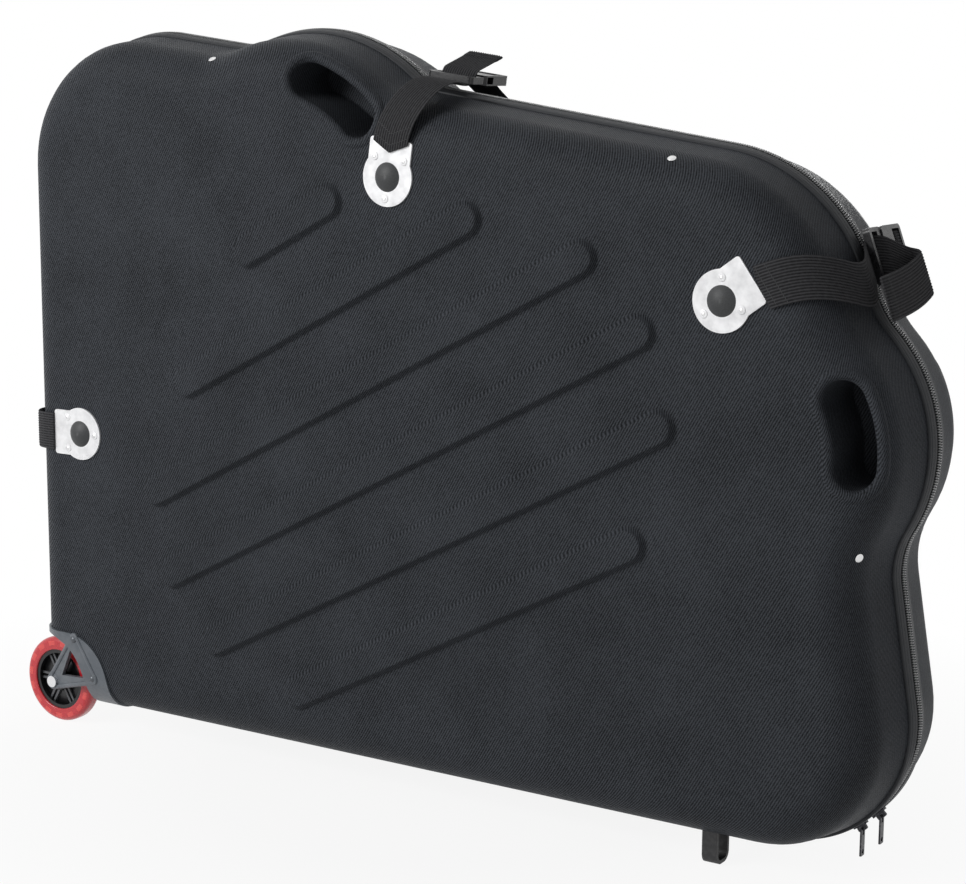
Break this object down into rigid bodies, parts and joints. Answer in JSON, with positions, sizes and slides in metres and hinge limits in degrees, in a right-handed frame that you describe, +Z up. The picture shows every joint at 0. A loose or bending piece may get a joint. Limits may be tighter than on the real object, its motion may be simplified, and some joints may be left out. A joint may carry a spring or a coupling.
{
  "type": "bike travel case",
  "caption": "Wheeled hard-shell bike travel case: two moulded halves hinged along the bottom edge, zipped and strapped shut, with moulded grips, rear wheels and front feet.",
  "frame": {"origin": "on the floor below the middle of the case's bounding box, in the plane of the zip", "axes": "+X along the length from the wheels to the side grip, +Y from the front half to the back half, +Z up"},
  "size_m": [1.2869, 0.248, 0.947],
  "materials": {
    "shell": "fine woven cloth bonded to a moulded plastic shell",
    "binding": "satin rubber edge binding",
    "zip": "spiral coil teeth",
    "hinge_fabric": "woven tape",
    "zip_metal": "dark plated die casting",
    "tyre": "clear-coated red polyurethane",
    "hub": "black moulded nylon",
    "steel": "plain steel",
    "bracket": "grey-black moulded nylon",
    "rivet_steel": "domed steel heads",
    "foot": "black moulded rubber",
    "plate": "blasted and anodised sheet",
    "dome": "plain dark cap",
    "webbing": "ribbed polypropylene webbing",
    "buckle": "moulded acetal"
  },
  "bodies": {
    "back_half": {"back_axle_bolt": "steel", "back_binding": "binding", "back_bracket_screws": "rivet_steel", "back_eyelets": "rivet_steel", "back_foot": "foot", "back_rear_buckle": "buckle", "back_rear_plate": "plate", "back_rear_webbing": "webbing", "back_shell": "shell", "back_side_buckle": "buckle", "back_side_plate": "plate", "back_side_webbing": "webbing", "back_strap_domes": "dome", "back_strap_rivets": "rivet_steel", "back_top_buckle": "buckle", "back_top_plate": "plate", "back_top_webbing": "webbing", "back_wheel_bracket": "bracket", "back_zip_teeth": "zip", "hinge_strip": "hinge_fabric", "tie_strap_1": "webbing", "tie_strap_2": "webbing", "zip_slider_1": "zip_metal", "zip_slider_2": "zip_metal"},
    "front_half": {"front_axle_bolt": "steel", "front_binding": "binding", "front_bracket_screws": "rivet_steel", "front_eyelets": "rivet_steel", "front_foot": "foot", "front_rear_buckle": "buckle", "front_rear_plate": "plate", "front_rear_webbing": "webbing", "front_shell": "shell", "front_side_buckle": "buckle", "front_side_plate": "plate", "front_side_webbing": "webbing", "front_strap_domes": "dome", "front_strap_rivets": "rivet_steel", "front_top_buckle": "buckle", "front_top_plate": "plate", "front_top_webbing": "webbing", "front_wheel_bracket": "bracket", "front_zip_teeth": "zip"},
    "front_wheel": {"front_bearings": "steel", "front_hub": "hub", "front_tyre": "tyre"},
    "back_wheel": {"back_bearings": "steel", "back_hub": "hub", "back_tyre": "tyre"},
    "pull_1": {"zip_pull_1": "zip_metal"},
    "pull_2": {"zip_pull_2": "zip_metal"}
  },
  "joints": [
    {"name": "lid_hinge", "type": "hinge", "parent": "back_half", "child": "front_half", "pos_m": [0, 0, 0.0255], "axis": [1, 0, 0], "range_deg": [0, 120]},
    {"name": "front_wheel_spin", "type": "hinge", "parent": "front_half", "child": "front_wheel", "pos_m": [-0.5835, -0.083, 0.06], "axis": [0, 1, 0], "continuous": true},
    {"name": "back_wheel_spin", "type": "hinge", "parent": "back_half", "child": "back_wheel", "pos_m": [-0.5835, 0.083, 0.06], "axis": [0, 1, 0], "continuous": true},
    {"name": "pull_1_swing", "type": "hinge", "parent": "back_half", "child": "pull_1", "pos_m": [0.57312, 0, 0.05015], "axis": [0, -1, 0], "range_deg": [-40, 12]},
    {"name": "pull_2_swing", "type": "hinge", "parent": "back_half", "child": "pull_2", "pos_m": [0.59543, 0, 0.0694], "axis": [0, -1, 0], "range_deg": [-8, 50]}
  ]
}
